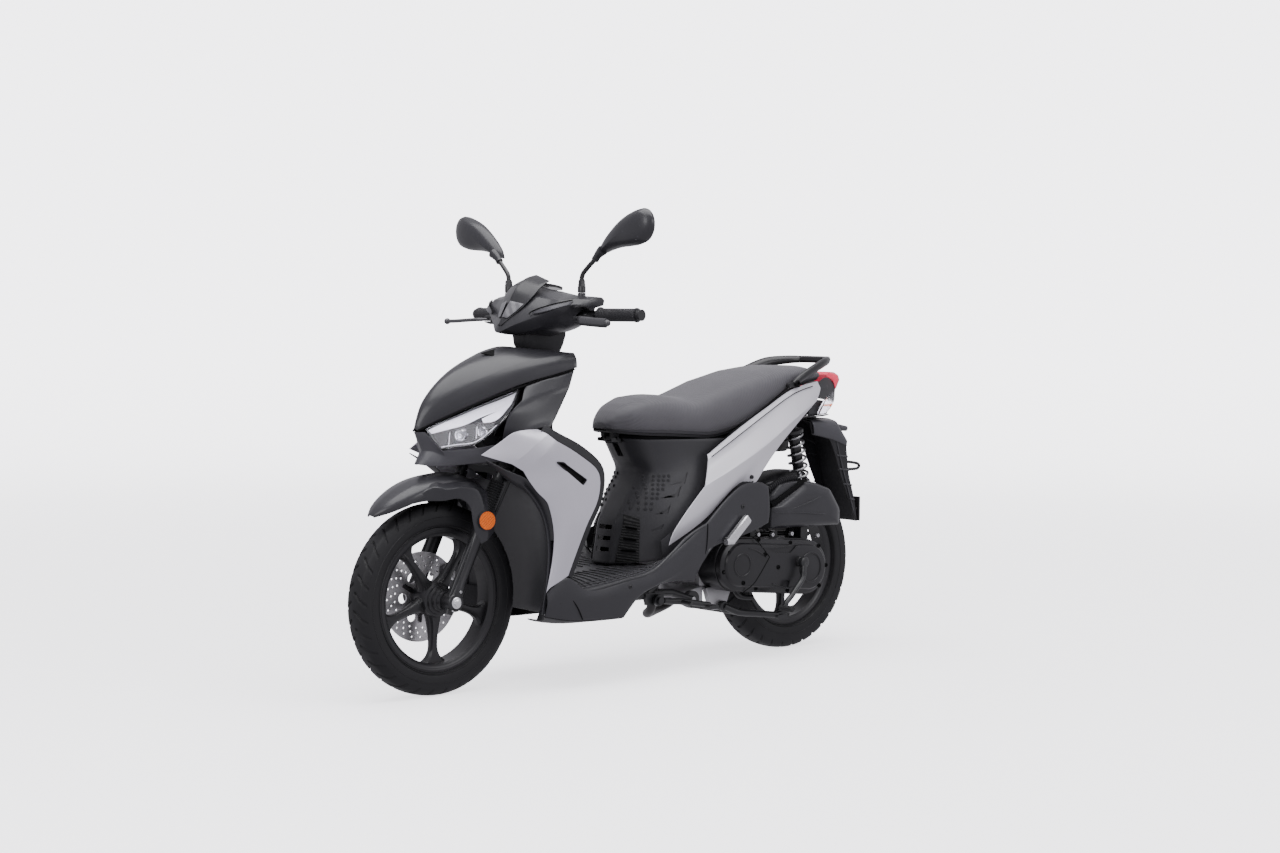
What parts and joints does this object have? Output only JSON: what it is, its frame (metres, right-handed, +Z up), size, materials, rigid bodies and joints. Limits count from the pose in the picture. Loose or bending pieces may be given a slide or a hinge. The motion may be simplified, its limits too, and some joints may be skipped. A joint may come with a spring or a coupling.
{
  "type": "moped scooter",
  "caption": "Step-through moped scooter with a swinging engine unit, telescopic fork, lifting seat, mirrors and folding stands.",
  "frame": {"origin": "on the ground under the middle of the overall length and width", "axes": "+X forwards, +Y to the rider's left, +Z up"},
  "size_m": [1.87, 0.822, 1.263],
  "materials": {
    "gloss_black": "glossy graphite black moulded plastic",
    "silver_panel": "satin silver-grey metallic paint on plastic",
    "matte_black": "grained black plastic",
    "frame_steel": "black painted steel",
    "steel": "bare steel",
    "chrome": "bright plated",
    "alloy": "sand cast aluminium",
    "black_alloy": "gloss black painted alloy",
    "rubber": "black rubber",
    "tyre": "black tyre rubber",
    "vinyl": "dark grey ribbed vinyl over foam",
    "clear": "clear lens",
    "red_lens": "red lens",
    "dial": "dark dial glass"
  },
  "bodies": {
    "chassis": {"centre_cover": "matte_black", "floorboard": "matte_black", "frame": "frame_steel", "front_cowl": "gloss_black", "fuel_tank": "frame_steel", "grab_rail": "black_alloy", "headlight_unit": "clear", "helmet_box": "matte_black", "inner_leg_shield": "matte_black", "leg_panel_left": "silver_panel", "leg_panel_right": "silver_panel", "lower_cover_left": "gloss_black", "lower_cover_right": "gloss_black", "nose_brow": "gloss_black", "rear_mudguard": "matte_black", "side_panel_left": "silver_panel", "side_panel_right": "silver_panel", "tail_cover": "matte_black", "tail_light": "red_lens", "wheel_arch": "matte_black"},
    "ignition_lock": {"ignition_key": "steel"},
    "seat": {"seat_base": "matte_black", "seat_cushion": "vinyl"},
    "steering": {"steering_stem": "frame_steel", "handlebar": "frame_steel", "headset_cover": "gloss_black", "instrument_cluster": "dial", "speedometer_cable": "rubber", "switchgear_left": "matte_black", "switchgear_right": "matte_black", "grip_left": "rubber"},
    "throttle": {"throttle_grip": "rubber"},
    "lever_left": {"brake_lever_left": "black_alloy"},
    "lever_right": {"brake_lever_right": "black_alloy"},
    "mirror_l": {"mirror_left": "gloss_black"},
    "mirror_r": {"mirror_right": "gloss_black"},
    "horn": {"horn_button": "matte_black"},
    "starter": {"starter_button": "matte_black"},
    "fork_lower": {"fork_sliders": "black_alloy", "front_fender": "gloss_black", "brake_caliper": "black_alloy"},
    "front_wheel": {"front_rim": "black_alloy", "front_tyre": "tyre", "brake_disc": "steel"},
    "engine": {"engine_case": "alloy", "cvt_cover": "black_alloy", "variator_and_belt": "alloy", "cylinder": "alloy", "air_box": "matte_black", "muffler": "frame_steel"},
    "rear_wheel": {"rear_rim": "black_alloy", "rear_tyre": "tyre"},
    "shock_upper": {"shock_body": "frame_steel", "shock_spring": "frame_steel"},
    "shock_lower": {"shock_rod": "steel"},
    "kick": {"kick_lever": "frame_steel"},
    "stand_centre": {"centre_stand": "frame_steel"},
    "stand_side": {"side_stand": "frame_steel"},
    "peg_left": {"footpeg_left": "alloy"},
    "peg_right": {"footpeg_right": "alloy"}
  },
  "joints": [
    {"name": "steering_turn", "type": "hinge", "parent": "chassis", "child": "steering", "pos_m": [0.40727, 0, 0.75], "axis": [-0.4305, 0, 0.9026], "range_deg": [-36, 36]},
    {"name": "front_suspension", "type": "slide", "parent": "steering", "child": "fork_lower", "axis": [-0.4305, 0, 0.9026], "range_m": [-0.03, 0.045], "stiffness_N_per_m": 14000, "springref_m": -0.0225},
    {"name": "front_wheel_spin", "type": "hinge", "parent": "fork_lower", "child": "front_wheel", "pos_m": [0.685, 0, 0.25], "axis": [0, 1, 0], "continuous": true},
    {"name": "throttle_twist", "type": "hinge", "parent": "steering", "child": "throttle", "pos_m": [0.3, -0.18, 0.988], "axis": [-0.1392, -0.9903, 0], "range_deg": [0, 75], "stiffness_Nm_per_rad": 0.8},
    {"name": "lever_left_pull", "type": "hinge", "parent": "steering", "child": "lever_left", "pos_m": [0.35, 0.187, 0.973], "axis": [0, 0, 1], "range_deg": [0, 18], "stiffness_Nm_per_rad": 3, "springref_deg": -2.86},
    {"name": "lever_right_pull", "type": "hinge", "parent": "steering", "child": "lever_right", "pos_m": [0.35, -0.187, 0.973], "axis": [0, 0, -1], "range_deg": [0, 18], "stiffness_Nm_per_rad": 3, "springref_deg": -2.86},
    {"name": "mirror_left_turn", "type": "hinge", "parent": "steering", "child": "mirror_l", "pos_m": [0.317, 0.154, 1.06], "axis": [0, 0, 1], "range_deg": [-40, 60]},
    {"name": "mirror_right_turn", "type": "hinge", "parent": "steering", "child": "mirror_r", "pos_m": [0.317, -0.154, 1.06], "axis": [0, 0, -1], "range_deg": [-40, 60]},
    {"name": "horn_press", "type": "slide", "parent": "steering", "child": "horn", "axis": [1, 0, 0], "range_m": [0, 0.0025], "stiffness_N_per_m": 300, "springref_m": -0.001},
    {"name": "starter_press", "type": "slide", "parent": "steering", "child": "starter", "axis": [1, 0, 0], "range_m": [0, 0.0025], "stiffness_N_per_m": 300, "springref_m": -0.001},
    {"name": "ignition_turn", "type": "hinge", "parent": "chassis", "child": "ignition_lock", "pos_m": [0.302, -0.07, 0.8], "axis": [0.9889, 0, -0.1483], "range_deg": [0, 90]},
    {"name": "seat_lift", "type": "hinge", "parent": "chassis", "child": "seat", "pos_m": [0.078, 0, 0.648], "axis": [0, 1, 0], "range_deg": [0, 75]},
    {"name": "rear_suspension", "type": "hinge", "parent": "chassis", "child": "engine", "pos_m": [-0.15, 0, 0.19], "axis": [0, 1, 0], "range_deg": [-2, 6], "stiffness_Nm_per_rad": 4500, "springref_deg": -2.58},
    {"name": "rear_wheel_spin", "type": "hinge", "parent": "engine", "child": "rear_wheel", "pos_m": [-0.605, 0, 0.258], "axis": [0, 1, 0], "continuous": true},
    {"name": "shock_swing", "type": "hinge", "parent": "chassis", "child": "shock_upper", "pos_m": [-0.54, 0.101, 0.682], "axis": [0, 1, 0], "range_deg": [-5, 3]},
    {"name": "shock_stroke", "type": "slide", "parent": "shock_upper", "child": "shock_lower", "axis": [0.2186, 0, 0.9758], "range_m": [-0.03, 0.06], "deforming": ["shock_spring"]},
    {"name": "kick_start", "type": "hinge", "parent": "engine", "child": "kick", "pos_m": [-0.508, 0.19, 0.278], "axis": [0, 1, 0], "range_deg": [0, 50], "stiffness_Nm_per_rad": 4, "springref_deg": -17.19},
    {"name": "centre_stand_fold", "type": "hinge", "parent": "engine", "child": "stand_centre", "pos_m": [-0.275, 0, 0.16], "axis": [0, -1, 0], "range_deg": [0, 80], "stiffness_Nm_per_rad": 6, "springref_deg": -68.75},
    {"name": "side_stand_fold", "type": "hinge", "parent": "chassis", "child": "stand_side", "pos_m": [0.02, 0.14, 0.206], "axis": [0, -1, 0], "range_deg": [0, 105], "stiffness_Nm_per_rad": 2, "springref_deg": -57.3},
    {"name": "peg_left_fold", "type": "hinge", "parent": "chassis", "child": "peg_left", "pos_m": [-0.196, 0.197, 0.358], "axis": [-1, 0, 0], "range_deg": [0, 78]},
    {"name": "peg_right_fold", "type": "hinge", "parent": "chassis", "child": "peg_right", "pos_m": [-0.196, -0.197, 0.358], "axis": [1, 0, 0], "range_deg": [0, 78]}
  ],
  "couplings": [
    {"joint": "shock_swing", "follows": "rear_suspension", "ratio": -0.71469},
    {"joint": "shock_stroke", "follows": "rear_suspension", "m_per_rad": 0.47774}
  ]
}
